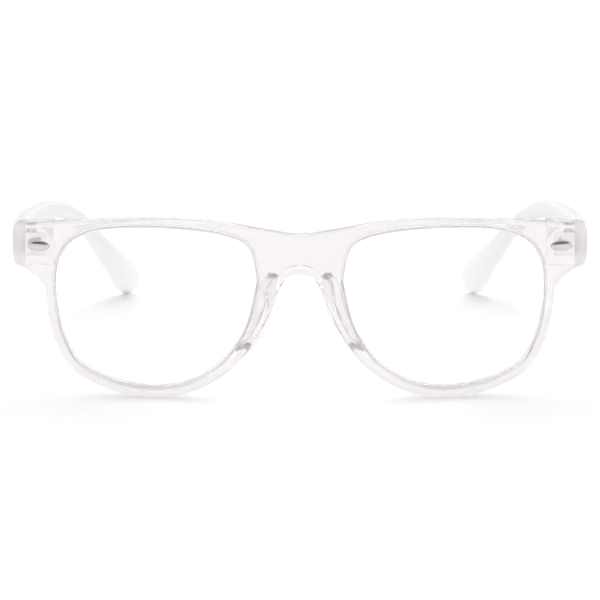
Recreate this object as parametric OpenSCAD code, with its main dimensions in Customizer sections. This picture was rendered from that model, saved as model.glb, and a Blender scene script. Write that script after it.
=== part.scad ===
// Children's spectacles: a clear moulded front with two lenses, and frosted
// folding temples on five-barrel metal hinges.
// X runs across the face, the front looks along -Y, and +Z is up.
// The spectacles stand on the bottoms of the rims and on the tips of the
// temples. Left and right are the wearer's, so the left side is +X.

/* [Front] */
// Width over the end pieces
front_w = 126; // [122:1:134]
// Thickness of the moulded front
front_t = 4; // [3.4:0.1:5]
// Radius that the front is wrapped to, seen from above
bow_r = 280; // [220:10:500]
// Radius on the outer edges of the front
edge_r = 0.8; // [0.4:0.1:1]
// Radius on the edges round each lens
lens_edge_r = 0.4; // [0.2:0.05:0.6]
// Width of the rim below and beside each lens
rim_w = 2.4; // [1.8:0.1:3.2]
// Width of the rim above each lens
brow_w = 2; // [1.6:0.1:3]

/* [Bridge] */
// Clear width between the two lens openings
lens_gap = 19; // [17:0.5:21]
// How far the top of the bridge lies below the brow
bridge_dip = 3.3; // [2:0.1:5]
// Height of the bridge at its middle
bridge_h = 9.1; // [7:0.1:11]
// Width of the rim beside the nose, at its widest
nose_w = 4.8; // [4:0.1:5.5]
// How far each moulded nose pad stands back from the front
pad_d = 4.5; // [2:0.1:6]
// How far each nose pad swells towards the nose
pad_out = 0.8; // [0.2:0.1:1.2]

/* [Lenses] */
// Width of each lens opening
lens_w = 44; // [42:0.5:45]
// Height of each lens opening
lens_h = 35.5; // [32:0.5:38]
// Thickness of each lens
lens_t = 1.6; // [1:0.1:1.8]
// Depth of the groove that holds the lens
groove_d = 0.7; // [0.5:0.05:0.8]
// How far the lens sits behind the front face
lens_back = 1.1; // [0.9:0.05:1.3]
// Gap all round the edge of the lens in its groove
lens_fit = 0.05; // [0.02:0.01:0.1]

/* [End pieces] */
// Height of each end piece
end_h = 9.7; // [8.5:0.1:11]
// How far the top of the end piece lies below the brow
end_dip = 1.6; // [0.8:0.1:2]
// Width of the flat block behind each end piece
hinge_pad_w = 9; // [8.2:0.1:9.2]
// Height of the block, down from the top of the end piece
hinge_pad_h = 9.8; // [8.2:0.1:10]

/* [Temples] */
// Length along the temple, from the seam to the tip
temple_l = 120; // [114:1:126]
// Thickness of the temple
temple_t = 3.1; // [2.8:0.1:3.6]
// Height of the temple at the seam
butt_h = 10.2; // [9:0.1:11]
// Height of the temple in front of the ear
shaft_h = 3.5; // [3:0.1:6]
// Height of the paddle behind the ear
paddle_h = 9; // [8:0.1:12]
// Where the temple starts to turn down over the ear
ear_s = 61; // [56:1:68]
// Length of the bend over the ear
ear_l = 47; // [36:1:50]
// Angle that the temple turns down through over the ear
ear_angle = 41; // [30:0.5:45]
// Where the temple starts to curve in towards the head
tuck_s = 50; // [44:1:58]
// How fast the temple curves in, in degrees a millimetre
tuck_rate = 0.57; // [0.3:0.01:0.6]
// Radius on the long edges of the temple
temple_r = 1.1; // [0.6:0.1:1.3]
// Gap at the seam between end piece and open temple
seam_gap = 0.25; // [0.15:0.05:0.4]

/* [Hinges] */
// Height of the hinge, over all its barrels
hinge_h = 5.2; // [4.5:0.1:6]
// Radius of the barrels
barrel_r = 1.25; // [1.1:0.05:1.35]
// Gap between a barrel and what it turns past
barrel_gap = 0.05; // [0.03:0.01:0.08]
// Thickness of the hinge leaves
leaf_t = 0.9; // [0.7:0.05:1.1]
// Width of the leaf behind the end piece
front_leaf_w = 4.6; // [4:0.1:5]
// Length of the leaf along the temple
temple_leaf_l = 11; // [8:0.5:13]
// Radius of the anchor posts that hold a leaf in the plastic
anchor_r = 0.45; // [0.35:0.05:0.6]
// Length of the anchor posts
anchor_l = 1.4; // [1:0.1:1.5]
// Radius of the hinge screw
screw_r = 0.6; // [0.5:0.05:0.7]
// Gap round the hinge screw
screw_fit = 0.04; // [0.02:0.01:0.08]
// Radius of the screw's head
screw_head_r = 1.1; // [0.9:0.05:1.2]
// Height of the screw's head
screw_head_h = 0.55; // [0.4:0.05:0.8]

/* [Trim studs] */
// Share of the end piece's width that the oval stud covers
stud_share = 0.526; // [0.4:0.01:0.6]
// Height of the stud, and twice how far it stands proud
stud_h = 2.4; // [1.8:0.1:3]
// Distance of the stud's middle from the lens opening, as a share of that width
stud_place = 0.39; // [0.35:0.01:0.5]
// Radius of the pin behind the stud
stud_pin_r = 0.5; // [0.4:0.05:0.7]
// Length of the pin behind the stud
stud_pin_l = 2.2; // [1.5:0.1:2.4]
// Gap round pins and leaves that are set in the plastic
set_fit = 0.02; // [0.01:0.01:0.05]

/* [Hidden] */
$fn = 48;

CLEAR_PLASTIC = [0.93, 0.9, 0.93, 0.6];
LENS_CLEAR = [0.93, 0.97, 0.96, 0.4];
FROSTED = [0.93, 0.92, 0.92];
STEEL = [0.72, 0.72, 0.74];
CHROME = [0.85, 0.85, 0.87];

// Heights above the surface that the rims stand on
lens_cx = lens_gap / 2 + lens_w / 2;
lens_cz = rim_w + lens_h / 2;
brow_z = rim_w + lens_h + brow_w;
bridge_z = brow_z - bridge_dip;
arch_z = bridge_z - bridge_h;
side_x = front_w / 2;
end_w = side_x - lens_gap / 2 - lens_w;
end_top = brow_z - end_dip;
end_bottom = end_top - end_h;
end_mid = (end_top + end_bottom) / 2;

// Plan view of the wrap: the front face lies on an arc of radius bow_r
function bow(x) = bow_r - sqrt(bow_r * bow_r - x * x);
function bow_angle(x) = asin(x / bow_r);

// The seam is the plane where an end piece meets its open temple
seam_y = bow(side_x) + front_t;
temple_y = seam_y + seam_gap;
inner_x = side_x - temple_t;
hinge_x = inner_x - barrel_r - barrel_gap;
hinge_y = seam_y + barrel_r + 2 * barrel_gap;
hinge_z = end_mid - 0.4;
hinge_bottom = hinge_z - hinge_h / 2;
barrels = 5;
barrel_pitch = hinge_h / barrels;

// Smooth curve through knots
function blend4(a, b, c, d, t) =
    0.5 * (2 * b + (c - a) * t + (2 * a - 5 * b + 4 * c - d) * t * t
        + (3 * b - a - 3 * c + d) * t * t * t);
function ring_curve(k, u) =
    let (n = len(k), i = floor(u), t = u - i)
    blend4(k[(i + n - 1) % n], k[(i + n) % n], k[(i + 1) % n], k[(i + 2) % n], t);
function open_curve(k, u) =
    let (n = len(k), i = min(max(floor(u), 0), n - 2), t = u - i,
        before = i > 0 ? k[i - 1] : [-k[1].x, k[1].y],
        after = i < n - 2 ? k[i + 2] : [-k[n - 2].x, k[n - 2].y])
    blend4(before, k[i], k[i + 1], after, t);
function mix(a, b, t) = a + (b - a) * t;
function ease(t) = let (c = min(max(t, 0), 1)) c * c * (3 - 2 * c);
function unit(v) = v / norm(v);

// Lens shape, in shares of half its width and half its height, from the nose
// side at the arch, down, round below and back along the brow
LENS_SHAPE = [[-0.998, 0.42], [-0.975, 0.17], [-0.927, -0.09], [-0.83, -0.37],
    [-0.61, -0.71], [-0.22, -0.967], [0.28, -0.972], [0.74, -0.745],
    [0.925, -0.37], [0.99, 0.03], [1, 0.33], [0.98, 0.51], [0.935, 0.65],
    [0.82, 0.82], [0.55, 0.96], [0, 1], [-0.55, 0.95], [-0.9, 0.8]];
RING_END = 2 * len(LENS_SHAPE);
function lens_point(u) =
    let (p = ring_curve(LENS_SHAPE, u / 2))
    [lens_cx + p.x * lens_w / 2, lens_cz + p.y * lens_h / 2];
function lens_normal(u) =
    let (d = lens_point(u + 0.1) - lens_point(u + RING_END - 0.1)) unit([d.y, -d.x]);

// End piece, from below the lens's corner round to the top: distances in from
// the side, in shares of its width, and heights over its bottom, in shares of
// its height
END_SHAPE = [[0.726, -0.485], [0.516, -0.237], [0.263, -0.062], [0.063, 0.031],
    [0.005, 0.206], [0, 0.5], [0.005, 0.804], [0.095, 0.969], [0.368, 1], [1, 1.031]];

// Brow, from the end piece to the nose: distances from the lens's middle, in
// shares of its width, and drops below the top, in shares of the brow's width
BROW_SHAPE = [[0.273, 0.25], [0.034, 0], [-0.159, 0.025], [-0.341, 0.4]];

// Outer outline of one half of the front. It starts under the bridge, follows
// the lens round below at the rim's width, turns out round the end piece and
// runs back along the brow to the top of the bridge.
NOSE_KNOTS = 2;
RIM_END = 18;
function rim_width(u) = rim_w + (nose_w - rim_w) * pow(max(0, (10 - u) / 8), 1.5);
OUTER_KNOTS = concat(
    [[0, arch_z], [0.163 * lens_gap, arch_z - 0.088 * bridge_h]],
    [for (u = [NOSE_KNOTS:RIM_END]) lens_point(u) + rim_width(u) * lens_normal(u)],
    [for (p = END_SHAPE) [side_x - p.x * end_w, end_bottom + p.y * end_h]],
    [for (p = BROW_SHAPE) [lens_cx + p.x * lens_w, brow_z - p.y * brow_w]],
    [[0.432 * lens_gap, bridge_z + bridge_dip / 3], [0, bridge_z]]);
OUTER_END = len(OUTER_KNOTS) - 1;
function outer_point(u) = open_curve(OUTER_KNOTS, u);
function outer_normal(u) =
    let (d = u <= 0 ? [1, 0] : u >= OUTER_END ? [-1, 0]
        : outer_point(u + 0.1) - outer_point(u - 0.1))
    unit([d.y, -d.x]);

// Moulded nose pad: how far it has risen at each place round the ring and at
// each share of the way across the rim, from the outer edge to the opening.
// Both ends are rounded, and slant across the rim. It falls to the opening.
PAD_TOP = 1.5;
PAD_TOP_ROUND = 1.2;
PAD_END = 6.6;
PAD_END_ROUND = 1.5;
PAD_SLANT = 1.5;
function from_0_to_1(t) = min(max(t, 0), 1);
function rounded_end(t) = sqrt(1 - pow(from_0_to_1(t + 1), 2));
function pad_rise(u, across) =
    rounded_end((PAD_TOP - PAD_SLANT * across - u) / PAD_TOP_ROUND)
    * rounded_end((u - PAD_END - PAD_SLANT * across) / PAD_END_ROUND);
function pad_fall(across) = (1 + cos(180 * from_0_to_1((across - 0.25) / 0.7))) / 2;

// Section of the rim at place u: front face, outer edge, nose pad, back face
// and the lens groove. Each entry is a place in the outline and a depth.
BACK_SHARES = [0.3, 0.55, 0.8];
corner = 1 - cos(45);
groove_front = lens_back - lens_fit;
groove_back = lens_back + lens_t + lens_fit;
function at_depth(p, depth) = [p.x, bow(p.x) + depth, p.y];
function rim_section(u) =
    let (a = lens_point(u), na = lens_normal(u), b = outer_point(u), nb = outer_normal(u),
        rise = pad_rise(u, 0), swell = pad_out * rise, crest = front_t + pad_d * rise,
        crest_edge = b - edge_r * nb, opening_edge = a + lens_edge_r * na)
    [at_depth(a, lens_edge_r),
        at_depth(opening_edge, 0),
        at_depth(crest_edge, 0),
        at_depth(b - corner * edge_r * nb, corner * edge_r),
        at_depth(b, edge_r),
        at_depth(b + swell * nb, front_t - edge_r),
        at_depth(b + (swell - corner * edge_r) * nb, crest - corner * edge_r),
        at_depth(crest_edge, crest),
        each [for (across = BACK_SHARES) at_depth(mix(crest_edge, opening_edge, across),
            front_t + pad_d * pad_rise(u, across) * pad_fall(across))],
        at_depth(opening_edge, front_t),
        at_depth(a, front_t - lens_edge_r),
        at_depth(a, groove_back),
        at_depth(a + groove_d * na, groove_back),
        at_depth(a + groove_d * na, groove_front),
        at_depth(a, groove_front)];
FIRST_OUTER = 2;
LAST_OUTER = 7;
LAST_BACK = LAST_OUTER + len(BACK_SHARES);

// Ring of sections round one lens. Behind OUTER_END the ring crosses the
// bridge, where its outer points lie on the middle plane of the front.
RING_STEP = 0.5;
STATIONS = RING_END / RING_STEP;
SECTION_POINTS = 14 + len(BACK_SHARES);
AXIS_STATION = OUTER_END / RING_STEP;
top_section = rim_section(OUTER_END);
arch_section = rim_section(0);
function ring_section(s) =
    let (u = s * RING_STEP)
    u <= OUTER_END ? rim_section(u)
    : let (own = rim_section(u), t = (u - OUTER_END) / (RING_END - OUTER_END))
    [for (j = [0:SECTION_POINTS - 1])
        j >= FIRST_OUTER && j <= LAST_BACK ? mix(top_section[j], arch_section[j], t) : own[j]];
function on_middle(s, j) =
    (s >= AXIS_STATION || s == 0) && j >= FIRST_OUTER && j <= LAST_OUTER;
function ring_vertex(side, s, j) =
    let (m = s % STATIONS, i = j % SECTION_POINTS)
    (side == 1 && !on_middle(m, i) ? STATIONS * SECTION_POINTS : 0) + m * SECTION_POINTS + i;

module moulded_front() {
    half = [for (s = [0:STATIONS - 1]) each ring_section(s)];
    other = [for (p = half) [-p.x, p.y, p.z]];
    faces = [for (side = [0, 1], s = [0:STATIONS - 1], j = [0:SECTION_POINTS - 1])
        let (a = ring_vertex(side, s, j), b = ring_vertex(side, s + 1, j),
            c = ring_vertex(side, s + 1, j + 1), d = ring_vertex(side, s, j + 1),
            inside = s >= AXIS_STATION && j >= FIRST_OUTER && j < LAST_OUTER)
        if (!inside) each (side == 0 ? [[a, b, c], [a, c, d]] : [[a, c, b], [a, d, c]])];
    polyhedron(concat(half, other), faces);
}

// Shared shapes
module rounded_bar(w, h, r) {
    steps = 5;
    polygon([for (q = [0:3], i = [0:steps])
        let (a = 90 * (q + i / steps), cx = q == 0 || q == 3 ? w / 2 - r : r - w / 2,
            cy = q < 2 ? h / 2 - r : r - h / 2)
        [cx + r * cos(a), cy + r * sin(a)]]);
}
module on_both_sides() {
    children();
    mirror([1, 0, 0]) children();
}
// Moves a shape drawn in X and Z to lie between two depths
module between(y0, y1) {
    translate([0, y1, 0]) rotate([90, 0, 0]) linear_extrude(y1 - y0) children();
}

// Hinge leaf behind the end piece, with a fit added for its pocket
front_leaf_x = hinge_x - 0.7;
anchor_step = hinge_h * 0.56;
module front_leaf(fit) {
    between(seam_y - leaf_t - fit, seam_y)
        translate([front_leaf_x, hinge_z])
        rounded_bar(front_leaf_w + 2 * fit, hinge_h + 2 * fit, 0.5);
    for (dz = [-0.5, 0.5])
        translate([front_leaf_x - 1, seam_y - leaf_t / 2, hinge_z + dz * anchor_step])
        rotate([90, 0, 0])
        cylinder(r = anchor_r + fit, h = leaf_t / 2 + anchor_l + fit);
}

// Hinge leaf on the inside of the temple
leaf_start = hinge_y;
anchor_y = leaf_start + temple_leaf_l * 0.45;
module temple_leaf(fit) {
    translate([inner_x, leaf_start - fit, hinge_bottom - fit])
        cube([leaf_t + fit, temple_leaf_l + 2 * fit, hinge_h + 2 * fit]);
    for (n = [0, 1])
        translate([inner_x + leaf_t / 2, anchor_y + n * temple_leaf_l * 0.35, hinge_z])
        rotate([0, 90, 0])
        cylinder(r = anchor_r + fit, h = leaf_t / 2 + anchor_l * 0.7 + fit);
}

// Oval trim stud: a half spindle with a pin behind, square to the wrap
stud_l = stud_share * end_w;
stud_x = side_x - end_w + stud_place * end_w;
flat_sag = stud_l * stud_l / (8 * bow_r);
module place_stud() {
    translate([stud_x, bow(stud_x) + flat_sag, end_mid - 0.15])
        rotate([0, 0, bow_angle(stud_x)]) children();
}
module stud_pin(fit) {
    rotate([-90, 0, 0]) cylinder(r = stud_pin_r + fit, h = stud_pin_l + fit);
}

// Block behind each end piece, which follows the end piece's outline and ends
// flat at the seam. It starts behind the lens groove, so its lens stays clear.
pad_edge = 0.1;
module hinge_pad() {
    pad_x = side_x - pad_edge - hinge_pad_w / 2;
    between(bow(pad_x) + groove_back + 2 * lens_fit, seam_y) intersection() {
        polygon([for (u = [RIM_END:RING_STEP:RIM_END + len(END_SHAPE) + 2])
            outer_point(u) - pad_edge * outer_normal(u)]);
        translate([side_x - pad_edge - hinge_pad_w, end_top - hinge_pad_h])
            square([end_w, brow_z]);
    }
}
module front_frame() {
    color(CLEAR_PLASTIC) difference() {
        union() {
            moulded_front();
            on_both_sides() hinge_pad();
        }
        on_both_sides() {
            front_leaf(set_fit);
            place_stud() stud_pin(set_fit);
        }
    }
}

// Lens, cut from a curved sheet to the shape of its groove
module lens() {
    seat = groove_d - lens_fit;
    edge = [for (s = [0:STATIONS - 1])
        let (u = s * RING_STEP) lens_point(u) + seat * lens_normal(u)];
    color(LENS_CLEAR) intersection() {
        between(0, seam_y) polygon(edge);
        difference() {
            translate([0, bow_r + lens_back, 0]) cylinder(r = bow_r, h = brow_z, $fn = 720);
            translate([0, bow_r + lens_back + lens_t, -1]) cylinder(r = bow_r, h = brow_z + 2, $fn = 720);
        }
    }
}
module left_lens() { lens(); }
module right_lens() { mirror([1, 0, 0]) lens(); }

// Temple, swept along its outer face. The profile turns down over the ear and
// the whole temple rakes down until its tip stands on the same surface.
SHAFT_STEPS = 34;
TIP_STEPS = 5;
TIP_TURN = 84;
tip_l = 0.55 * paddle_h;
lead_l = 0.2 * butt_h;
function down_angle(s) = ear_angle * ease((s - ear_s) / ear_l);
function tuck_angle(s) = tuck_rate * max(0, s - tuck_s);
function heading(s) = [-sin(tuck_angle(s)) * cos(down_angle(s)),
    cos(tuck_angle(s)) * cos(down_angle(s)), -sin(down_angle(s))];
STATION = concat([-lead_l],
    [for (i = [0:SHAFT_STEPS]) i * (temple_l - tip_l) / SHAFT_STEPS],
    [for (i = [1:TIP_STEPS]) temple_l - tip_l * (1 - sin(TIP_TURN * i / TIP_STEPS))]);
LAST_STATION = len(STATION) - 1;
ROUTE = [for (i = 0, p = [0, -lead_l, 0]; i <= LAST_STATION;
    p = i < LAST_STATION
        ? p + heading((STATION[i] + STATION[i + 1]) / 2) * (STATION[i + 1] - STATION[i]) : p,
    i = i + 1) p];

// Height of the temple along its length, with the tip rounded off
taper_l = 0.74 * temple_l;
swell_s = 0.77 * temple_l;
swell_l = 0.27 * temple_l;
function height_at(s) =
    mix(butt_h, shaft_h, ease(s / taper_l)) + (paddle_h - shaft_h) * ease((s - swell_s) / swell_l);
function tip_scale(s) =
    let (d = max(0, s - (temple_l - tip_l)) / tip_l) sqrt(1 - d * d);
function upright(s) = [-sin(tuck_angle(s)) * sin(down_angle(s)),
    cos(tuck_angle(s)) * sin(down_angle(s)), cos(down_angle(s))];
function inward(s) = [-cos(tuck_angle(s)), -sin(tuck_angle(s)), 0];

// Rounded section: distance in from the outer face, and height
SECTION_CORNERS = [[1, 1], [0, 1], [0, -1], [1, -1]];
function temple_section(i) =
    let (s = STATION[i], h = height_at(s) * tip_scale(s),
        thick = temple_t * mix(1, tip_scale(s), 0.6), r = min(temple_r, thick / 2.6, h / 2.6))
    [for (q = [0:3], e = [0:2])
        let (a = 90 * q + 45 * e, c = SECTION_CORNERS[q],
            across = c.x * thick + (c.x == 1 ? -r : r) + r * cos(a),
            up = c.y * (h / 2 - r) + r * sin(a))
        ROUTE[i] + inward(s) * (across + (temple_t - thick) / 2) + upright(s) * up];
TEMPLE_RINGS = [for (i = [0:LAST_STATION]) temple_section(i)];

// Rake that brings the lowest point of the tip down to the surface
butt_z = end_mid + 0.1;
rake = min([for (ring = TEMPLE_RINGS, p = ring) if (p.y > temple_l / 2)
    asin(min(1, butt_z / norm([p.y, p.z]))) - atan2(-p.z, p.y)]);
function raked(p) = [side_x + p.x, temple_y + p.y * cos(rake) + p.z * sin(rake),
    butt_z + p.z * cos(rake) - p.y * sin(rake)];
RAKED_RINGS = [for (ring = TEMPLE_RINGS) [for (p = ring) raked(p)]];
overall_d = max([for (ring = RAKED_RINGS, p = ring) p.y]);

module temple_blank() {
    n = len(RAKED_RINGS[0]);
    last = LAST_STATION;
    points = [for (ring = RAKED_RINGS) each ring];
    walls = [for (i = [0:last - 1], j = [0:n - 1])
        let (a = i * n + j, b = i * n + (j + 1) % n, c = b + n, d = a + n)
        each [[a, c, b], [a, d, c]]];
    front_end = [for (j = [1:n - 2]) [0, j, j + 1]];
    tip_end = [for (j = [1:n - 2]) [last * n, last * n + j + 1, last * n + j]];
    polyhedron(points, concat(walls, front_end, tip_end));
}
module temple() {
    color(FROSTED) difference() {
        temple_blank();
        translate([inner_x - temple_t, temple_y - butt_h, 0])
            cube([3 * temple_t, butt_h, brow_z + butt_h]);
        temple_leaf(set_fit);
    }
}
module left_temple() { temple(); }
module right_temple() { mirror([1, 0, 0]) temple(); }

// One barrel of the hinge, by its number from the bottom
module barrel(n) {
    translate([hinge_x, hinge_y, hinge_bottom + n * barrel_pitch + barrel_gap / 2])
        cylinder(r = barrel_r, h = barrel_pitch - barrel_gap);
}
module barrel_arm(n, low, high) {
    translate([low.x, low.y, hinge_bottom + n * barrel_pitch + barrel_gap / 2])
        cube([high.x - low.x, high.y - low.y, barrel_pitch - barrel_gap]);
}
module screw_hole() {
    translate([hinge_x, hinge_y, hinge_bottom - 1])
        cylinder(r = screw_r + screw_fit, h = hinge_h + 2);
}

// Hinge half set in the end piece: the first, third and fifth barrels
module front_hinge() {
    color(STEEL) difference() {
        union() {
            front_leaf(0);
            for (n = [0:2:barrels - 1]) {
                barrel(n);
                barrel_arm(n, [hinge_x - barrel_r, seam_y - leaf_t / 2], [hinge_x, hinge_y]);
            }
        }
        screw_hole();
    }
}
module left_front_hinge() { front_hinge(); }
module right_front_hinge() { mirror([1, 0, 0]) front_hinge(); }

// Hinge half set in the temple: the second and fourth barrels
module temple_hinge() {
    color(STEEL) difference() {
        union() {
            temple_leaf(0);
            for (n = [1:2:barrels - 1]) {
                barrel(n);
                barrel_arm(n, [hinge_x, hinge_y], [inner_x + leaf_t / 2, hinge_y + barrel_r]);
            }
        }
        screw_hole();
    }
}
module left_temple_hinge() { temple_hinge(); }
module right_temple_hinge() { mirror([1, 0, 0]) temple_hinge(); }

// Slotted screw, dropped in from above
module hinge_screw() {
    top = hinge_bottom + hinge_h - barrel_gap / 2;
    slot_w = 0.3;
    slot_d = 0.25;
    color(STEEL) translate([hinge_x, hinge_y, 0]) difference() {
        union() {
            translate([0, 0, hinge_bottom]) cylinder(r = screw_r, h = top - hinge_bottom + 0.1);
            translate([0, 0, top]) cylinder(r = screw_head_r, h = screw_head_h);
        }
        translate([-screw_head_r - 1, -slot_w / 2, top + screw_head_h - slot_d])
            cube([2 * screw_head_r + 2, slot_w, slot_d + 1]);
    }
}
module left_hinge_screw() { hinge_screw(); }
module right_hinge_screw() { mirror([1, 0, 0]) hinge_screw(); }

// Polished oval stud on the face of the end piece
module trim_stud() {
    steps = 12;
    profile = [for (i = [0:steps]) let (a = 180 * i / steps - 90)
        [max(0, stud_h / 2 * cos(a)), stud_l / 2 * sin(a)]];
    color(CHROME) place_stud() {
        intersection() {
            rotate([0, 90, 0]) rotate_extrude() polygon(profile);
            translate([-stud_l, -stud_h, -stud_h]) cube([2 * stud_l, stud_h, 2 * stud_h]);
        }
        stud_pin(0);
    }
}
module left_trim_stud() { trim_stud(); }
module right_trim_stud() { mirror([1, 0, 0]) trim_stud(); }

// The origin lies under the middle of the whole, on the surface it stands on
module standing() {
    translate([0, -overall_d / 2, 0]) children();
}
standing() front_frame();
standing() left_lens();
standing() right_lens();
standing() left_temple();
standing() right_temple();
standing() left_front_hinge();
standing() right_front_hinge();
standing() left_temple_hinge();
standing() right_temple_hinge();
standing() left_hinge_screw();
standing() right_hinge_screw();
standing() left_trim_stud();
standing() right_trim_stud();
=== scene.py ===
# Children's spectacles: a clear moulded front with two lenses, and frosted
# folding temples on five-barrel metal hinges. The drawing is in millimetres,
# with the face of the bridge at y = 0. Left is the wearer's left, towards +X.
from math import asin, atan2, cos, floor, pi, radians, sin, sqrt

import bmesh
import bpy
from mathutils import Matrix, Vector


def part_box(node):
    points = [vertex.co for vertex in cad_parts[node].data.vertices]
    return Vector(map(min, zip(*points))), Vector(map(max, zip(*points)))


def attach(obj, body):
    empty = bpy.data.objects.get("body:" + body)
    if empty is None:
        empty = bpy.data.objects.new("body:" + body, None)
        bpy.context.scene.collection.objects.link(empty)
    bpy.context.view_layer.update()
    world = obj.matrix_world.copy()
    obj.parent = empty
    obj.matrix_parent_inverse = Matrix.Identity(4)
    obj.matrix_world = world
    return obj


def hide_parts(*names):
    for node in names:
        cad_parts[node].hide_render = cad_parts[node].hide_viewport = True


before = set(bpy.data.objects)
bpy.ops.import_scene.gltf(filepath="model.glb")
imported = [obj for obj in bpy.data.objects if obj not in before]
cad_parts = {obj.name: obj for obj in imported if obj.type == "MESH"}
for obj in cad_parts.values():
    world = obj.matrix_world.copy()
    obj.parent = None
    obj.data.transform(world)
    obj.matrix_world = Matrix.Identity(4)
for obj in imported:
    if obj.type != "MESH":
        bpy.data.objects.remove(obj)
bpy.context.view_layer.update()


# Front: one clear moulding, with a bridge between two rims, an end piece on
# each side and two nose pads behind. It is wrapped to a large radius, and a
# groove round each opening holds the lens.
front_w = 126
front_t = 4
bow_r = 280
edge_r = 0.8
arch_r = 2.7
opening_r = 0.4
rim_w = 2.4
brow_w = 2
lens_gap = 19
lens_w = 44
lens_h = 35.5
bridge_dip = 3.3
bridge_h = 9.1
nose_w = 4.8
pad_d = 4.5
pad_out = 0.8
end_h = 9.7
end_dip = 1.6
groove_d = 0.7
groove_front = 1.05
groove_back = 2.75
hinge_pad_w = 9
hinge_pad_h = 9.8
hinge_pad_edge = 0.1
hinge_pad_sink = 0.1

side_x = front_w / 2
end_w = side_x - lens_gap / 2 - lens_w
lens_x = (lens_gap + lens_w) / 2
lens_z = rim_w + lens_h / 2
brow_z = rim_w + lens_h + brow_w
bridge_z = brow_z - bridge_dip
arch_z = bridge_z - bridge_h
end_top = brow_z - end_dip
end_bottom = end_top - end_h
end_mid = (end_top + end_bottom) / 2
mm = 0.001
face_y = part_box("front_frame")[0].y / mm
sides = (("left", 1), ("right", -1))


def bow(x):
    """How far the wrapped face lies behind the bridge at x"""
    return bow_r - sqrt(bow_r * bow_r - x * x)


seam_y = bow(side_x) + front_t


def mix(a, b, t):
    return a + (b - a) * t


def clamp(t):
    return min(max(t, 0), 1)


def blend4(a, b, c, d, t):
    """Smooth curve from b to c, with a before them and d after"""
    return 0.5 * (
        2 * b + (c - a) * t + (2 * a - 5 * b + 4 * c - d) * t * t
        + (3 * b - a - 3 * c + d) * t ** 3
    )


def outward(curve, u, near=0.1):
    """Outward normal of a curve at u, from two points close on either side"""
    along = curve(u + near) - curve(u - near)
    return Vector((along.y, -along.x)).normalized()


# The opening's shape, in shares of half its width and half its height, from
# the nose side at the arch, down, round below and back along the brow. Places
# round the ring are counted in half steps from one of these knots to the next.
opening_shape = [
    (-0.998, 0.42), (-0.975, 0.17), (-0.927, -0.09), (-0.83, -0.37), (-0.61, -0.71),
    (-0.22, -0.967), (0.28, -0.972), (0.74, -0.745), (0.925, -0.37), (0.99, 0.03),
    (1, 0.33), (0.98, 0.51), (0.935, 0.65), (0.82, 0.82), (0.55, 0.96), (0, 1),
    (-0.55, 0.95), (-0.9, 0.8),
]
opening_knots = [
    Vector((lens_x + x * lens_w / 2, lens_z + z * lens_h / 2)) for x, z in opening_shape
]
ring_end = 2 * len(opening_knots)


def opening_point(u):
    n = len(opening_knots)
    i = floor(u / 2)
    near = [opening_knots[(i + k) % n] for k in (-1, 0, 1, 2)]
    return blend4(*near, u / 2 - i)


def opening_normal(u):
    return outward(opening_point, u)


# Places round the ring where the rim leaves the arch, where it has become slim
# and where the end piece starts, and the power by which the rim slims
nose_knot = 2
slim_knot = 10
end_knot = 18
slimming = 1.5


def rim_width(u):
    """Width of the rim, deep beside the nose and slim below the lens"""
    to_slim = max(0, (slim_knot - u) / (slim_knot - nose_knot))
    return rim_w + (nose_w - rim_w) * to_slim ** slimming


# End piece, from below the lens's corner round to the top, in shares of its
# width in from the side and of its height; then the brow, in shares of the
# lens's width from its middle, and of the brow's width down
end_shape = [
    (0.726, -0.485), (0.516, -0.237), (0.263, -0.062), (0.063, 0.031), (0.005, 0.206),
    (0, 0.5), (0.005, 0.804), (0.095, 0.969), (0.368, 1), (1, 1.031),
]
brow_shape = [(0.273, 0.25), (0.034, 0), (-0.159, 0.025), (-0.341, 0.4)]
arch_side = Vector((0.163 * lens_gap, arch_z - 0.088 * bridge_h))
bridge_side = Vector((0.432 * lens_gap, bridge_z + bridge_dip / 3))

outline_knots = [Vector((0, arch_z)), arch_side]
for rim_knot in range(nose_knot, end_knot + 1):
    outline_knots.append(opening_point(rim_knot) + rim_width(rim_knot) * opening_normal(rim_knot))
for x, z in end_shape:
    outline_knots.append(Vector((side_x - x * end_w, end_bottom + z * end_h)))
for x, z in brow_shape:
    outline_knots.append(Vector((lens_x + x * lens_w, brow_z - z * brow_w)))
outline_knots += [bridge_side, Vector((0, bridge_z))]
outline_end = len(outline_knots) - 1


def outline_point(u):
    """Outer outline of the left half, from under the bridge round to its top"""
    i = min(max(floor(u), 0), outline_end - 1)
    before = outline_knots[i - 1] if i > 0 else outline_knots[1] * Vector((-1, 1))
    after = outline_knots[i + 2] if i < outline_end - 1 else outline_knots[-2] * Vector((-1, 1))
    return blend4(before, outline_knots[i], outline_knots[i + 1], after, u - i)


def outline_normal(u):
    """Outward normal of the outer outline, upright on the middle plane"""
    if u <= 0:
        return Vector((0, -1))
    if u >= outline_end:
        return Vector((0, 1))
    return outward(outline_point, u)


# Nose pad: the places round the ring where it starts and ends at its outer
# edge, how far each shifts by the opening, how long it takes to rise and to
# fall, and the power that rounds its top. Near its outer edge it rises more
# gently. Across the rim it keeps its full depth as far as the crest's share,
# and falls to the back over the slope's.
pad_start = 1.6
pad_start_shift = 2.4
pad_rise_l = 1.2
pad_gentle_l = 2
pad_end = 6.5
pad_end_shift = 0.6
pad_fall_l = 1.1
pad_round = 0.7
pad_crest = 0.25
pad_slope = 0.7


def pad_rise(u, across=0):
    """How far the nose pad has risen, from 0 to 1, round the ring and across the rim"""
    rise_l = pad_rise_l + pad_gentle_l * max(0, 1 - 2 * across)
    above = clamp((pad_start - pad_start_shift * across - u) / rise_l + 1)
    below = clamp((u - pad_end - pad_end_shift * across) / pad_fall_l + 1)
    return (1 - above * above) ** pad_round * sqrt(1 - below * below)


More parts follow.
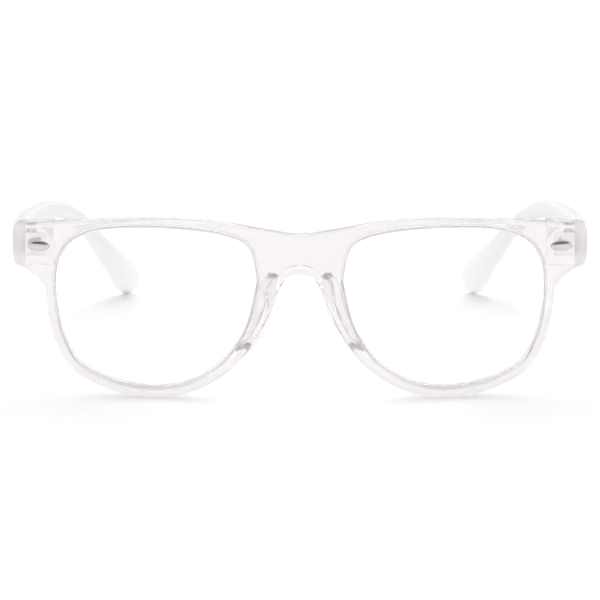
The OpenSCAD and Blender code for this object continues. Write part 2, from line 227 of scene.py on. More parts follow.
def deep(point, depth):
    """A point of the flat drawing, placed on the wrapped front at a depth"""
    return Vector((point.x, bow(point.x) + depth, point.y))


# Steps round each edge, over the face, down the wall, over the back and round
# the ring, and the place where the arch's wide round starts to fade
edge_steps = 6
face_steps = 7
wall_steps = 6
back_steps = 14
ring_step = 0.125
arch_end = 0.4
quarter_turns = [pi / 2 * k / edge_steps for k in range(edge_steps + 1)]


def outer_part(u):
    """Section from the front face round the outer edge and the nose pad to the back"""
    edge = outline_point(u)
    out = outline_normal(u)
    rise = pad_rise(u)
    swell = pad_out * rise
    crest = front_t + pad_d * rise
    face_r = mix(arch_r, edge_r, clamp(u - arch_end))
    part = []
    for turn in quarter_turns:
        part.append(deep(edge - face_r * (1 - sin(turn)) * out, face_r * (1 - cos(turn))))
    for k in range(1, wall_steps):
        depth = mix(face_r, crest - edge_r, k / wall_steps)
        bulge = swell * sin(pi / 2 * clamp((depth - edge_r) / (front_t - 2 * edge_r)))
        part.append(deep(edge + bulge * out, depth))
    for turn in quarter_turns:
        offset = swell - edge_r * (1 - cos(turn))
        part.append(deep(edge + offset * out, crest - edge_r * (1 - sin(turn))))
    return part


def front_section(u):
    """Closed section of the front at u: face, outer edge, back, opening and groove"""
    edge = opening_point(u)
    out = opening_normal(u)
    if u <= outline_end:
        outer = outer_part(u)
    else:
        t = (u - outline_end) / (ring_end - outline_end)
        outer = [mix(top, arch, t) for top, arch in zip(outer_part(outline_end), outer_part(0))]
    face_edge = edge + opening_r * out
    rim_edge = outer[0].xz
    crest_edge = outer[-1].xz
    face = []
    for turn in quarter_turns[:-1]:
        face.append(deep(edge + opening_r * (1 - cos(turn)) * out, opening_r * (1 - sin(turn))))
    for k in range(face_steps):
        face.append(deep(mix(face_edge, rim_edge, k / face_steps), 0))
    back = []
    for k in range(1, back_steps):
        across = k / back_steps
        fall = (1 + cos(pi * clamp((across - pad_crest) / pad_slope))) / 2
        depth = front_t + pad_d * pad_rise(u, across) * fall
        back.append(deep(mix(crest_edge, face_edge, across), depth))
    for turn in quarter_turns:
        depth = front_t - opening_r * (1 - cos(turn))
        back.append(deep(edge + opening_r * (1 - sin(turn)) * out, depth))
    groove = [
        deep(edge, groove_back),
        deep(edge + groove_d * out, groove_back),
        deep(edge + groove_d * out, groove_front),
        deep(edge, groove_front),
    ]
    return face + outer + back + groove


def moulded_front():
    """Both halves of the front, joined on the middle plane"""
    stations = int(ring_end / ring_step)
    middle_station = outline_end / ring_step
    first_outer = edge_steps + face_steps
    last_outer = first_outer + 2 * edge_steps + wall_steps
    sections = [front_section(s * ring_step) for s in range(stations)]
    across = len(sections[0])
    bm = bmesh.new()
    for side in (1, -1):
        rings = [[bm.verts.new((side * p.x, p.y, p.z)) for p in section] for section in sections]
        for s in range(stations):
            for j in range(across):
                if s >= middle_station and first_outer <= j < last_outer:
                    continue
                ring, after = rings[s], rings[(s + 1) % stations]
                corners = [ring[j], after[j], after[(j + 1) % across], ring[(j + 1) % across]]
                bm.faces.new(corners if side > 0 else corners[::-1])
    bmesh.ops.delete(bm, geom=[v for v in bm.verts if not v.link_faces], context="VERTS")
    bmesh.ops.remove_doubles(bm, verts=bm.verts, dist=1e-5)
    bmesh.ops.recalc_face_normals(bm, faces=bm.faces)
    return bm


def drawn_mesh(name, bm):
    """A drawing as a mesh of its own"""
    mesh = bpy.data.meshes.new(name)
    bm.to_mesh(mesh)
    bm.free()
    return mesh


def add_object(name, data):
    made = bpy.data.objects.new(name, data)
    bpy.context.scene.collection.objects.link(made)
    return made


def shade_smooth(mesh):
    """Smooth shading, apart from the sharp edges"""
    mesh.polygons.foreach_set("use_smooth", [True] * len(mesh.polygons))
    mesh.set_sharp_from_angle(angle=radians(32))


def make_piece(name, bm, finish, side=1):
    """A piece in metres, in its place, from a drawing of the left one"""
    for vertex in bm.verts:
        x, y, z = vertex.co
        vertex.co = Vector((side * x, y + face_y, z)) * mm
    if side < 0:
        bmesh.ops.reverse_faces(bm, faces=bm.faces)
    mesh = drawn_mesh(name, bm)
    shade_smooth(mesh)
    mesh.materials.append(finish)
    return add_object(name, mesh)


def modified_mesh(piece):
    """The mesh that a piece's modifiers make, after which they are removed"""
    mesh = bpy.data.meshes.new_from_object(
        piece.evaluated_get(bpy.context.evaluated_depsgraph_get())
    )
    piece.modifiers.clear()
    return mesh


def combine(piece, tool, operation):
    """Joins a tool to a piece, or cuts it out, and throws the tool away"""
    joining = piece.modifiers.new("joining", "BOOLEAN")
    joining.operation = operation
    joining.solver = "EXACT"
    joining.object = tool
    piece.data = modified_mesh(piece)
    shade_smooth(piece.data)
    bpy.data.objects.remove(tool)


upward = Vector((0, 0, 1))
backward = Vector((0, 1, 0))


def prism(outline, low, high, up=upward):
    """Solid between two levels over a flat outline, drawn on the other two axes"""
    bm = bmesh.new()
    bottom = []
    for a, b in outline:
        bottom.append(bm.verts.new((a, b, low) if up.z else (a, low, b)))
    made = bmesh.ops.extrude_face_region(bm, geom=[bm.faces.new(bottom)])
    raised = [item for item in made["geom"] if isinstance(item, bmesh.types.BMVert)]
    bmesh.ops.translate(bm, verts=raised, vec=up * (high - low))
    bmesh.ops.recalc_face_normals(bm, faces=bm.faces)
    return bm


def hinge_block():
    """Block behind the end piece: it follows the outline, and is flat at the seam"""
    inner = side_x - hinge_pad_edge - hinge_pad_w
    lower = end_top - hinge_pad_h
    steps_per_knot = 4
    outline = []
    for k in range(steps_per_knot * (len(end_shape) + 2)):
        u = end_knot + k / steps_per_knot
        p = outline_point(u) - hinge_pad_edge * outline_normal(u)
        if p.x > inner and p.y > lower:
            outline.append((p.x, p.y))
    outline = [(inner, lower), (outline[0][0], lower)] + outline + [(inner, outline[-1][1])]
    buried_y = bow(inner + hinge_pad_w / 2) + groove_back + hinge_pad_sink
    return prism(outline, buried_y, seam_y, backward)


def new_finish(name):
    """A new material, with the tree of its nodes and its main shader"""
    finish = bpy.data.materials.new(name)
    finish.use_nodes = True
    return finish, finish.node_tree, finish.node_tree.nodes["Principled BSDF"]


def set_inputs(tree, node, inputs):
    """Gives each input of a node its value, or links it to another node's output"""
    for name, given in inputs.items():
        if isinstance(given, bpy.types.NodeSocket):
            tree.links.new(given, node.inputs[name])
        else:
            node.inputs[name].default_value = given


def add_node(tree, kind, inputs):
    node = tree.nodes.new(kind)
    set_inputs(tree, node, inputs)
    return node


def object_place(tree):
    """Place on the piece, so that a pattern stays where it is"""
    return tree.nodes.new("ShaderNodeTexCoord").outputs["Object"]


def noise(tree, place, scale, detail):
    """Soft uneven pattern"""
    inputs = {"Vector": place, "Scale": scale, "Detail": detail}
    return add_node(tree, "ShaderNodeTexNoise", inputs).outputs["Fac"]


def tinted(tree, value, first, last):
    """Colour that goes from the first to the last as the value goes from 0 to 1"""
    ramp = add_node(tree, "ShaderNodeValToRGB", {"Fac": value})
    ramp.color_ramp.elements[0].color = (*first, 1)
    ramp.color_ramp.elements[1].color = (*last, 1)
    return ramp.outputs["Color"]


def ranged(tree, value, first, last, start=0, end=1, kind="LINEAR"):
    """Number that goes from the first to the last as the value goes from start to end"""
    node = add_node(tree, "ShaderNodeMapRange", {
        "Value": value, "From Min": start, "From Max": end, "To Min": first, "To Max": last,
    })
    node.interpolation_type = kind
    return node.outputs["Result"]


def reckoned(tree, operation, *numbers):
    """Number that is worked out from others"""
    node = add_node(tree, "ShaderNodeMath", dict(enumerate(numbers)))
    node.operation = operation
    return node.outputs["Value"]


def embossed(tree, height, strength, distance):
    """Fine relief of the surface"""
    inputs = {"Height": height, "Strength": strength, "Distance": distance}
    return add_node(tree, "ShaderNodeBump", inputs).outputs["Normal"]


def let_by_light(tree, clear, shade):
    """Lets the lamps shine through a clear finish, so that its shadow stays pale"""
    ray = tree.nodes.new("ShaderNodeLightPath").outputs
    lighting = reckoned(tree, "MAXIMUM", ray["Is Shadow Ray"], ray["Is Diffuse Ray"])
    through = add_node(tree, "ShaderNodeBsdfTransparent", {"Color": shade})
    either = add_node(tree, "ShaderNodeMixShader", {
        "Fac": lighting, 1: clear.outputs["BSDF"], 2: through.outputs["BSDF"],
    })
    set_inputs(tree, tree.nodes["Material Output"], {"Surface": either.outputs["Shader"]})


def clear_plastic():
    """Clear plastic with a breath of pink, polished over the waves of its moulding"""
    finish, tree, plastic = new_finish("clear_plastic")
    place = object_place(tree)
    flow = noise(tree, place, scale=70, detail=2)
    polish = noise(tree, place, scale=400, detail=4)
    set_inputs(tree, plastic, {
        "Transmission Weight": 0.86,
        "IOR": 1.42,
        "Base Color": tinted(tree, flow, (0.895, 0.868, 0.889), (0.923, 0.899, 0.917)),
        "Roughness": ranged(tree, polish, 0.01, 0.06),
        "Normal": embossed(tree, flow, strength=0.35, distance=0.0003),
    })
    depth = add_node(tree, "ShaderNodeVolumeAbsorption", {
        "Color": (0.7, 0.35, 0.65, 1), "Density": 7,
    })
    # The lowest few millimetres let less light by, for a firmer shadow at the table
    height = add_node(tree, "ShaderNodeSeparateXYZ", {"Vector": place}).outputs["Z"]
    let_by_light(tree, plastic, ranged(tree, height, 0.84, 0.98, start=0.001, end=0.007))
    set_inputs(tree, tree.nodes["Material Output"], {"Volume": depth.outputs["Volume"]})
    return finish


front_plastic = clear_plastic()
front = make_piece("front", moulded_front(), front_plastic)
for side_name, side in sides:
    combine(front, make_piece("hinge_block", hinge_block(), front_plastic, side), "UNION")
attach(front, "front")
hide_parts("front_frame")


# Lenses: clear, cut from a curved sheet to the shape of the groove, with a
# thin bevel all round. They carry no power, so both faces have one curve.
lens_t = 1.6
lens_back = 1.1
lens_seat = 0.65
lens_bevel = 0.15
lens_around = 180
lens_rings = 16


def join_rings(bm, ring, after):
    n = len(ring)
    for k in range(n):
        bm.faces.new((ring[k], ring[(k + 1) % n], after[(k + 1) % n], after[k]))


def lens_edge(inset):
    """Points round the lens, in from its full size"""
    points = []
    for s in range(lens_around):
        u = ring_end * s / lens_around
        points.append(opening_point(u) + (lens_seat - inset) * opening_normal(u))
    return points


def lens_drawing():
    """Two curved faces, and between them the edge with a bevel on each side"""
    bm = bmesh.new()
    middle = Vector((lens_x, lens_z))
    full_edge = lens_edge(0)
    face_edge = lens_edge(lens_bevel)

    def ring_at(depth, points):
        return [bm.verts.new(deep(point, depth)) for point in points]

    def sheet(depth):
        centre = bm.verts.new(deep(middle, depth))
        made = []
        for k in range(1, lens_rings + 1):
            share = sin(pi / 2 * k / lens_rings)
            made.append(ring_at(depth, [mix(middle, edge, share) for edge in face_edge]))
        for s in range(lens_around):
            bm.faces.new((centre, made[0][s], made[0][(s + 1) % lens_around]))
        for inner, outer in zip(made, made[1:]):
            join_rings(bm, inner, outer)
        return made[-1]

    face = sheet(lens_back)
    back = sheet(lens_back + lens_t)
    front_corner = ring_at(lens_back + lens_bevel, full_edge)
    back_corner = ring_at(lens_back + lens_t - lens_bevel, full_edge)
    rims = [face, front_corner, back_corner, back]
    for ring, after in zip(rims, rims[1:]):
        join_rings(bm, ring, after)
    bmesh.ops.recalc_face_normals(bm, faces=bm.faces)
    return bm


def clear_lens():
    """Hard-coated clear lens, with the faint green of its edge"""
    finish, tree, lens = new_finish("clear_lens")
    coat = noise(tree, object_place(tree), scale=35, detail=1)
    set_inputs(tree, lens, {
        "Transmission Weight": 1,
        "IOR": 1.5,
        "Specular IOR Level": 0.15,
        "Base Color": tinted(tree, coat, (0.985, 1, 0.992), (0.992, 1, 0.997)),
        "Roughness": ranged(tree, coat, 0, 0.02),
    })
    let_by_light(tree, lens, (0.985, 0.99, 0.988, 1))
    return finish


lens_finish = clear_lens()
for side_name, side in sides:
    lens = make_piece(side_name + "_lens_disc", lens_drawing(), lens_finish, side)
    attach(lens, "front")
    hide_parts(side_name + "_lens")


# Temples: frosted plastic arms, deep at the seam, slim in front of the ear and
# wide again behind it. Each turns down over the ear and in towards the head,
# and rakes down until its tip stands on the table.
temple_l = 120
temple_t = 3.1
butt_h = 10.2
butt_up = 0.1
shaft_h = 3.5
paddle_h = 9
slim_s = 0.74 * temple_l
paddle_s = 0.77 * temple_l
paddle_l = 0.27 * temple_l
ear_s = 61
ear_l = 47
ear_angle = radians(41)
tuck_s = 50
tuck_rate = radians(0.57)
temple_r = 1.1
least_t_per_r = 2.6
seam_gap = 0.25
lead_l = 2
tip_l = 0.55 * paddle_h
tip_thinning = 0.6
tip_steps = 9
tip_turn = radians(84)
butt_z = end_mid + butt_up
temple_y = seam_y + seam_gap


def ease(t):
    t = clamp(t)
    return t * t * (3 - 2 * t)


def down_angle(s):
    return ear_angle * ease((s - ear_s) / ear_l)


def tuck_angle(s):
    return tuck_rate * max(0, s - tuck_s)


def heading(s):
    """The temple's way, s along its length"""
    down, tuck = down_angle(s), tuck_angle(s)
    return Vector((-sin(tuck) * cos(down), cos(tuck) * cos(down), -sin(down)))


def rounded_outline(x, z, w, h, r, steps=6):
    """Rectangle round a middle, with rounded corners"""
    outline = []
    for quarter in range(4):
        centre_x = x + (w / 2 - r) * (1 if quarter in (0, 3) else -1)
        centre_z = z + (h / 2 - r) * (1 if quarter < 2 else -1)
        for k in range(steps + 1):
            turn = pi / 2 * (quarter + k / steps)
            outline.append((centre_x + r * cos(turn), centre_z + r * sin(turn)))
    return outline


def temple_section(s, origin):
    """Rounded section across the temple, square to its way"""
    from_tip = max(0, s - (temple_l - tip_l)) / tip_l
    scale = sqrt(max(0, 1 - from_tip * from_tip))
    height = mix(butt_h, shaft_h, ease(s / slim_s))
    height += (paddle_h - shaft_h) * ease((s - paddle_s) / paddle_l)
    height *= scale
    thick = temple_t * mix(1, scale, tip_thinning)
    r = min(temple_r, thick / least_t_per_r, height / least_t_per_r)
    down, tuck = down_angle(s), tuck_angle(s)
    upright = Vector((-sin(tuck) * sin(down), cos(tuck) * sin(down), cos(down)))
    inward = Vector((-cos(tuck), -sin(tuck), 0))
    section = []
    for across, up in rounded_outline(0, 0, thick, height, r, 5):
        section.append(origin + inward * (across + temple_t / 2) + upright * up)
    return section


def temple_rings():
    """Sections a millimetre apart, and closer round the tip"""
    shaft = list(range(int(temple_l - tip_l) + 1))
    tip = []
    for k in range(1, tip_steps + 1):
        tip.append(temple_l - tip_l * (1 - sin(tip_turn * k / tip_steps)))
    stations = [-lead_l] + shaft + tip
    rings = []
    origin = Vector((0, -lead_l, 0))
    for s, after in zip(stations, stations[1:] + stations[-1:]):
        rings.append(temple_section(s, origin))
        origin = origin + heading((s + after) / 2) * (after - s)
    return rings


def temple_drawing():
    """Temple raked until its tip touches the table, and cut square at the seam"""
    rings = temple_rings()
    rake = min(
        asin(min(1, butt_z / p.yz.length)) - atan2(-p.z, p.y)
        for ring in rings for p in ring if p.y > temple_l / 2
    )
    bm = bmesh.new()
    made = []
    for ring in rings:
        placed = []
        for p in ring:
            y = temple_y + p.y * cos(rake) + p.z * sin(rake)
            z = butt_z + p.z * cos(rake) - p.y * sin(rake)
            placed.append(bm.verts.new((side_x + p.x, y, z)))
        made.append(placed)
    for ring, after in zip(made, made[1:]):
        join_rings(bm, ring, after)
    bm.faces.new(made[-1])
    every = bm.verts[:] + bm.edges[:] + bm.faces[:]
    cut = bmesh.ops.bisect_plane(
        bm, geom=every, plane_co=(0, temple_y, 0), plane_no=(0, -1, 0), clear_outer=True
    )
    butt_edges = [item for item in cut["geom_cut"] if isinstance(item, bmesh.types.BMEdge)]
    bmesh.ops.contextual_create(bm, geom=butt_edges)
    bmesh.ops.recalc_face_normals(bm, faces=bm.faces)
    return bm


def frosted_plastic():
    """Milky plastic with a fine matt grain, a little cloudy, with painted shade that darkens its front
    third
    """
    finish, tree, plastic = new_finish("frosted_plastic")
    place = object_place(tree)
    cloud = noise(tree, place, scale=45, detail=3)
    grain = noise(tree, place, scale=3500, detail=2)
    along = add_node(tree, "ShaderNodeSeparateXYZ", {"Vector": place}).outputs["Y"]
    # Painted shade: the base colour is darker over the front third of the temple and paler behind it,
    # standing in for how the light falls along the arm; the cloud noise added to it is the plastic's
    # own uneven tone
    painted_shade_along = ranged(tree, along, 0.3, 0.85, start=0.047, end=0.059)
    cloud_and_painted_shade = reckoned(tree, "MULTIPLY_ADD", cloud, 0.3, painted_shade_along)
    set_inputs(tree, plastic, {
        "Subsurface Weight": 0.5,
        "Subsurface Radius": (1, 0.95, 0.95),
        "Subsurface Scale": 0.002,
        "IOR": 1.49,
        "Base Color": tinted(tree, cloud_and_painted_shade, (0.76, 0.748, 0.752), (0.945, 0.94, 0.942)),
        "Roughness": ranged(tree, cloud, 0.38, 0.58),
        "Normal": embossed(tree, grain, strength=0.25, distance=0.00003),
    })
    return finish


temple_finish = frosted_plastic()
for side_name, side in sides:
    temple = make_piece(side_name + "_temple_arm", temple_drawing(), temple_finish, side)
    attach(temple, side_name + "_arm")
    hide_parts(side_name + "_temple")


# Hinges: stamped steel leaves with curled barrels, three on the end piece and
# two on the temple. The leaves are set flush in the plastic on two posts each,
# and the barrels turn on the screw.
hinge_h = 5.2
hinge_down = 0.4
barrel_r = 1.25
barrel_gap = 0.05
barrel_soft = 0.1
bore_r = 0.64
arm_r = 0.85
leaf_t = 0.9
leaf_proud = 0.05
leaf_r = 0.5
leaf_soft = 0.08
front_leaf_w = 4.6
front_leaf_in = 0.7
temple_leaf_l = 11
post_r = 0.45
post_l = 1.4
post_taper = 0.85
front_post_in = 1
front_post_gap = 0.56 * hinge_h
temple_post_l = leaf_t / 2 + 0.7 * post_l
temple_post_shares = (0.45, 0.8)

inner_x = side_x - temple_t
hinge_x = inner_x - barrel_r - barrel_gap
hinge_y = seam_y + barrel_r + 2 * barrel_gap
hinge_z = end_mid - hinge_down
hinge_bottom = hinge_z - hinge_h / 2
barrel_pitch = hinge_h / 5
front_leaf_x = hinge_x - front_leaf_in


def turned(profile, hollow, around=40):
    """Profile of radius and height turned about the Z axis, with a bore or with flat ends"""
    bm = bmesh.new()
    turns = [2 * pi * k / around for k in range(around)]
    rings = []
    for r, z in profile:
        rings.append([bm.verts.new((r * cos(turn), r * sin(turn), z)) for turn in turns])
    for ring, after in zip(rings, rings[1:]):
        join_rings(bm, ring, after)
    if hollow:
        join_rings(bm, rings[-1], rings[0])
    else:
        bm.faces.new(rings[0])
        bm.faces.new(rings[-1])
    bmesh.ops.recalc_face_normals(bm, faces=bm.faces)
    return bm


def add_drawing(bm, other):
    """Puts a second drawing into the first"""
    carried = drawn_mesh("carried", other)
    bm.from_mesh(carried)
    bpy.data.meshes.remove(carried)


def barrel_drawing(arm_l, swing, corner_steps=6):
    """Lowest barrel, with the arm that carries it out to its leaf"""
    low = barrel_gap / 2
    high = barrel_pitch - barrel_gap / 2
    soft = barrel_soft
    bm = turned([
        (bore_r, low + soft), (bore_r + soft, low), (barrel_r - soft, low), (barrel_r, low + soft),
        (barrel_r, high - soft), (barrel_r - soft, high), (bore_r + soft, high), (bore_r, high - soft),
    ], True)
    outline = [(-barrel_r, -arm_l), (0, -arm_l)]
    for k in range(corner_steps + 1):
        turn = -pi / 2 * (1 + k / corner_steps)
        outline.append((arm_r * cos(turn), arm_r * sin(turn)))
    outline.append((-barrel_r, 0))
    if swing:
        outline = [(-y, -x) for x, y in outline]
    add_drawing(bm, prism(outline, low, high))
    bmesh.ops.translate(bm, verts=bm.verts, vec=(hinge_x, hinge_y, hinge_bottom))
    return bm


def barrel_nodes():
    """Nodes that repeat one barrel up the pin"""
    tree = bpy.data.node_groups.new("hinge_barrels", "GeometryNodeTree")
    sockets = {}
    for name, kind in (
        ("Barrel", "NodeSocketGeometry"), ("Barrels", "NodeSocketInt"),
        ("Step", "NodeSocketFloat"), ("Metal", "NodeSocketMaterial"),
    ):
        sockets[name] = tree.interface.new_socket(name, in_out="INPUT", socket_type=kind).identifier
    tree.interface.new_socket("Hinge barrels", in_out="OUTPUT", socket_type="NodeSocketGeometry")
    given = tree.nodes.new("NodeGroupInput").outputs
    up = add_node(tree, "ShaderNodeCombineXYZ", {"Z": given["Step"]})
    places = add_node(tree, "GeometryNodeMeshLine", {
        "Count": given["Barrels"], "Offset": up.outputs["Vector"],
    })
    repeat = add_node(tree, "GeometryNodeInstanceOnPoints", {
        "Points": places.outputs["Mesh"], "Instance": given["Barrel"],
    })
    real = add_node(tree, "GeometryNodeRealizeInstances", {"Geometry": repeat.outputs["Instances"]})
    plated = add_node(tree, "GeometryNodeSetMaterial", {
        "Geometry": real.outputs["Geometry"], "Material": given["Metal"],
    })
    add_node(tree, "NodeGroupOutput", {0: plated.outputs["Geometry"]})
    return tree, sockets


barrels_up, barrel_sockets = barrel_nodes()


def hinge_half(name, barrel, leaf, count, steel, side):
    """One half of a hinge: its barrels, from the nodes, and its leaf, as one mesh"""
    half = make_piece(name, barrel, steel, side)
    repeat = half.modifiers.new("barrels", "NODES")
    repeat.node_group = barrels_up
    repeat[barrel_sockets["Barrels"]] = count
    repeat[barrel_sockets["Step"]] = 2 * barrel_pitch * mm
    repeat[barrel_sockets["Metal"]] = steel
    made = modified_mesh(half)
    plate = make_piece(name + "_leaf", leaf, steel, side)
    bm = bmesh.new()
    bm.from_mesh(made)
    bm.from_mesh(plate.data)
    bm.to_mesh(made)
    bm.free()
    bpy.data.objects.remove(plate)
    made.name = name
    half.data = made
    shade_smooth(made)
    return half


def soften(bm, width):
    """Small bevel on every sharp edge"""
    edges = [e for e in bm.edges if e.is_manifold and e.calc_face_angle(0) > radians(40)]
    bmesh.ops.bevel(bm, geom=edges, offset=width, segments=2, profile=0.5, affect="EDGES")
    return bm


def post(start, along, length):
    """Round post that anchors a piece of metal in the plastic"""
    bm = bmesh.new()
    bmesh.ops.create_cone(
        bm, cap_ends=True, segments=24, radius1=post_r, radius2=post_r * post_taper, depth=length
    )
    turn = upward.rotation_difference(Vector(along)).to_matrix().to_4x4()
    middle = Vector(start) + Vector(along) * length / 2
    bm.transform(Matrix.Translation(middle) @ turn)
    return bm


def front_leaf():
    outline = rounded_outline(front_leaf_x, hinge_z, front_leaf_w, hinge_h, leaf_r)
    bm = soften(prism(outline, seam_y - leaf_t, seam_y + leaf_proud, backward), leaf_soft)
    for up in (-0.5, 0.5):
        start = (front_leaf_x - front_post_in, seam_y - leaf_t / 2, hinge_z + up * front_post_gap)
        add_drawing(bm, post(start, (0, -1, 0), post_l))
    return bm


def rectangle(low_x, high_x, low_y, high_y):
    return [(low_x, low_y), (high_x, low_y), (high_x, high_y), (low_x, high_y)]


def temple_leaf():
    outline = rectangle(inner_x - leaf_proud, inner_x + leaf_t, hinge_y, hinge_y + temple_leaf_l)
    bm = soften(prism(outline, hinge_bottom, hinge_bottom + hinge_h), leaf_soft)
    for share in temple_post_shares:
        start = (inner_x + leaf_t / 2, hinge_y + share * temple_leaf_l, hinge_z)
        add_drawing(bm, post(start, (1, 0, 0), temple_post_l))
    return bm


def hinge_steel():
    """Plated steel, tumbled until its stamping marks are soft"""
    finish, tree, steel = new_finish("hinge_steel")
    stretch = add_node(tree, "ShaderNodeMapping", {
        "Vector": object_place(tree), "Scale": (900, 900, 6000),
    })
    brushed = noise(tree, stretch.outputs["Vector"], scale=1, detail=4)
    set_inputs(tree, steel, {
        "Metallic": 1,
        "Base Color": tinted(tree, brushed, (0.93, 0.93, 0.935), (0.99, 0.99, 0.99)),
        "Roughness": ranged(tree, brushed, 0.15, 0.32),
        "Normal": embossed(tree, brushed, strength=0.2, distance=0.00002),
    })
    return finish


steel_finish = hinge_steel()
for side_name, side in sides:
    arm_l = hinge_y - (seam_y - leaf_t / 2)
    barrel = barrel_drawing(arm_l, False)
    front_half = hinge_half(side_name + "_end_hinge", barrel, front_leaf(), 3, steel_finish, side)
    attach(front_half, "front")
    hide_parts(side_name + "_front_hinge")
    arm_l = inner_x + leaf_t / 2 - hinge_x
    barrel = barrel_drawing(arm_l, True)
    bmesh.ops.translate(barrel, verts=barrel.verts, vec=(0, 0, barrel_pitch))
    temple_half = hinge_half(side_name + "_arm_hinge", barrel, temple_leaf(), 2, steel_finish, side)
    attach(temple_half, side_name + "_arm")
    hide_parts(side_name + "_temple_hinge")


# Screws: one steel pin for each hinge, dropped in from above, with a low
# rounded head and a single slot
screw_r = 0.6
screw_chamfer = 0.1
screw_head_r = 1.1
screw_head_h = 0.55
screw_head_soft = 0.06
slot_w = 0.3
slot_d = 0.25
slot_over = 1
screw_top = hinge_h - barrel_gap / 2
screw_crown = screw_top + screw_head_h

# The crown's round, in from the head's side and down from its top
crown_shape = ((0, 0.22), (0.08, 0.1), (0.28, 0.02), (0.7, 0))


def screw_drawing():
    profile = [
        (screw_r - screw_chamfer, 0), (screw_r, screw_chamfer), (screw_r, screw_top),
        (screw_head_r - screw_head_soft, screw_top), (screw_head_r, screw_top + screw_head_soft),
    ]
    for inward, down in crown_shape:
        profile.append((screw_head_r - inward, screw_crown - down))
    bm = turned(profile, False)
    bmesh.ops.translate(bm, verts=bm.verts, vec=(hinge_x, hinge_y, hinge_bottom))
    return bm


def screw_slot():
    """Bar that cuts the slot across the head"""
    half_l = screw_head_r + slot_over
    half_w = slot_w / 2
    outline = rectangle(hinge_x - half_l, hinge_x + half_l, hinge_y - half_w, hinge_y + half_w)
    crown_z = hinge_bottom + screw_crown
    return prism(outline, crown_z - slot_d, crown_z + slot_over)


for side_name, side in sides:
    screw = make_piece(side_name + "_screw", screw_drawing(), steel_finish, side)
    combine(screw, make_piece("slot", screw_slot(), steel_finish, side), "DIFFERENCE")
    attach(screw, "front")
    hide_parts(side_name + "_hinge_screw")


# Trim studs: a polished oval stud on each end piece, half a spindle in shape,
# with a pin behind that is pressed into the plastic
stud_h = 2.4
stud_l = 0.526 * end_w
stud_x = side_x - end_w + 0.39 * end_w
stud_down = 0.15
stud_pin_l = 2.2
stud_pin_start = 0.3
stud_along = 48
stud_over = 24


def stud_drawing():
    bm = bmesh.new()
    rings = []
    for k in range(1, stud_along):
        angle = pi * k / stud_along
        x = -stud_l / 2 * cos(angle)
        r = stud_h / 2 * sin(angle)
        turns = [pi * j / stud_over for j in range(stud_over + 1)]
        rings.append([bm.verts.new((x, -r * sin(turn), r * cos(turn))) for turn in turns])
    for ring, after in zip(rings, rings[1:]):
        join_rings(bm, ring, after)
    for ring, x in ((rings[0], -stud_l / 2), (rings[-1], stud_l / 2)):
        point = bm.verts.new((x, 0, 0))
        for j in range(len(ring)):
            bm.faces.new((point, ring[j], ring[(j + 1) % len(ring)]))
    add_drawing(bm, post((0, -stud_pin_start, 0), (0, 1, 0), stud_pin_l + stud_pin_start))
    bmesh.ops.recalc_face_normals(bm, faces=bm.faces)
    flat_sag = stud_l * stud_l / (8 * bow_r)
    seat = Matrix.Translation((stud_x, bow(stud_x) + flat_sag, end_mid - stud_down))
    bm.transform(seat @ Matrix.Rotation(asin(stud_x / bow_r), 4, "Z"))
    return bm


def chrome():
    """Bright chrome with the finest of polishing lines"""
    finish, tree, plate = new_finish("chrome")
    polish = noise(tree, object_place(tree), scale=2500, detail=3)
    set_inputs(tree, plate, {
        "Metallic": 1,
        "Base Color": tinted(tree, polish, (0.65, 0.625, 0.605), (0.75, 0.725, 0.705)),
        "Roughness": ranged(tree, polish, 0.05, 0.16),
    })
    return finish


stud_finish = chrome()
for side_name, side in sides:
    stud = make_piece(side_name + "_stud", stud_drawing(), stud_finish, side)
    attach(stud, "front")
    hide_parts(side_name + "_trim_stud")


# Table: a plain white surface that the spectacles stand on, six metres from its
# middle to its edge. Its colour is whiter where the camera sees it, straight,
# in the metal or through the clear pieces, and it keeps their soft shadows.
table_r = 6
lit_white = 0.9
seen_white = 1.23


def white_table():
    finish, tree, shader = new_finish("white_table")
    tree.nodes.remove(shader)
    ray = tree.nodes.new("ShaderNodeLightPath").outputs
    seen = ray["Is Camera Ray"]
    for way in ("Is Glossy Ray", "Is Transmission Ray"):
        seen = reckoned(tree, "MAXIMUM", seen, ray[way])
    paper = add_node(tree, "ShaderNodeBsdfDiffuse", {
        "Color": ranged(tree, seen, lit_white, seen_white),
    })
    set_inputs(tree, tree.nodes["Material Output"], {"Surface": paper.outputs["BSDF"]})
    return finish


table_drawing = bmesh.new()
bmesh.ops.create_circle(table_drawing, cap_ends=True, segments=96, radius=table_r)
table = add_object("table", drawn_mesh("table", table_drawing))
table.data.materials.append(white_table())


# Light: a room with bright low walls and a dark ceiling. Polished metal mirrors
# a lit strip across the ceiling, and what is seen through the clear pieces
# stays white below and greyer above. One broad lamp, low behind, lights only
# the table, so that each shadow falls forwards and close to what casts it, and
# one above lights only the spectacles.
wall_level = 3.35
ceiling_level = 0.05
front_share = 1.22
back_share = 0.72
seen_ceiling_level = 0.86

# Heights, from level (0) to straight up (1): where the walls fade into the
# ceiling, the same as it is seen through clear pieces, and what metal mirrors
wall_fade = (0.15, 0.35)
seen_fade = (0.4, 0.8)
mirrored_low = 1.1
mirrored_high = 0.2
mirrored_strip = ((0.25, 1.1), (0.31, 0.15), (0.37, 0.15), (0.43, 1.3), (0.58, 1.3), (0.66, 0.2))


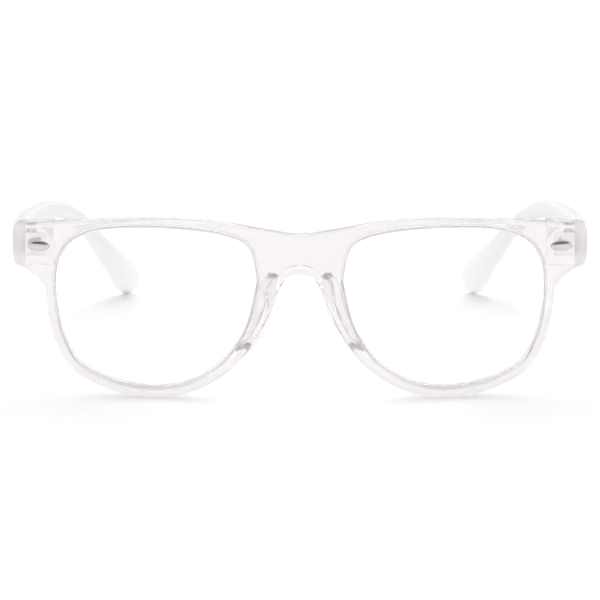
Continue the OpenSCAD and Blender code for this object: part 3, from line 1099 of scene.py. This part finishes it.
def studio_room():
    world = bpy.data.worlds.new("studio")
    world.use_nodes = True
    bpy.context.scene.world = world
    tree = world.node_tree
    ray = tree.nodes.new("ShaderNodeLightPath").outputs
    way = tree.nodes.new("ShaderNodeTexCoord").outputs["Generated"]
    axes = add_node(tree, "ShaderNodeSeparateXYZ", {"Vector": way}).outputs

    def choose(which, otherwise, chosen):
        inputs = {"Factor": ray[which], "A": otherwise, "B": chosen}
        return add_node(tree, "ShaderNodeMix", inputs).outputs["Result"]

    walls = ranged(tree, axes["Z"], wall_level, ceiling_level, *wall_fade, "SMOOTHSTEP")
    share = ranged(tree, axes["Y"], front_share, back_share, -1, 1)
    lights = reckoned(tree, "MULTIPLY", walls, share)
    mirrored = tinted(tree, axes["Z"], [mirrored_low] * 3, [mirrored_high] * 3)
    for height, shine in mirrored_strip:
        mirrored.node.color_ramp.elements.new(height).color = (shine, shine, shine, 1)
    seen_through = ranged(tree, axes["Z"], 1, seen_ceiling_level, *seen_fade, "SMOOTHSTEP")
    unseen = choose("Is Glossy Ray", lights, mirrored)
    level = choose("Is Transmission Ray", unseen, seen_through)
    set_inputs(tree, tree.nodes["Background"], {
        "Color": (1, 1, 1, 1),
        "Strength": reckoned(tree, "MAXIMUM", level, ray["Is Camera Ray"]),
    })


def soft_lamp(name, energy, angle, tilt, lights_table):
    """Broad lamp that lights the table alone, or all but the table"""
    lamp_data = bpy.data.lights.new(name, "SUN")
    lamp_data.energy = energy
    lamp_data.angle = radians(angle)
    lamp = add_object(name, lamp_data)
    lamp.rotation_euler = (radians(tilt), 0, 0)
    lamp.visible_glossy = False
    lamp.visible_transmission = False
    lit = bpy.data.collections.new(name + "_reach")
    lit.objects.link(table)
    lit.collection_objects[0].light_linking.link_state = "INCLUDE" if lights_table else "EXCLUDE"
    lamp.light_linking.receiver_collection = lit


studio_room()
soft_lamp("table_lamp", energy=3.4, angle=70, tilt=-56, lights_table=True)
soft_lamp("top_lamp", energy=2.35, angle=60, tilt=-10, lights_table=False)


# Camera: a long lens, twelve degrees above the table, straight in front. Its
# distance and the height that it looks at are in metres.
camera_away = 0.7
camera_up = radians(12)
camera_aim_z = 0.0224
camera_lens = 192.9
camera_target = Vector((0, face_y * mm, camera_aim_z))
camera_data = bpy.data.cameras.new("camera")
camera_data.sensor_width = 36
camera_data.lens = camera_lens
camera_data.clip_start = 0.01
camera = add_object("camera", camera_data)
camera.location = camera_target + camera_away * Vector((0, -cos(camera_up), sin(camera_up)))
camera.rotation_euler = (pi / 2 - camera_up, 0, 0)
bpy.context.scene.camera = camera
bpy.context.scene.view_settings.view_transform = "Standard"
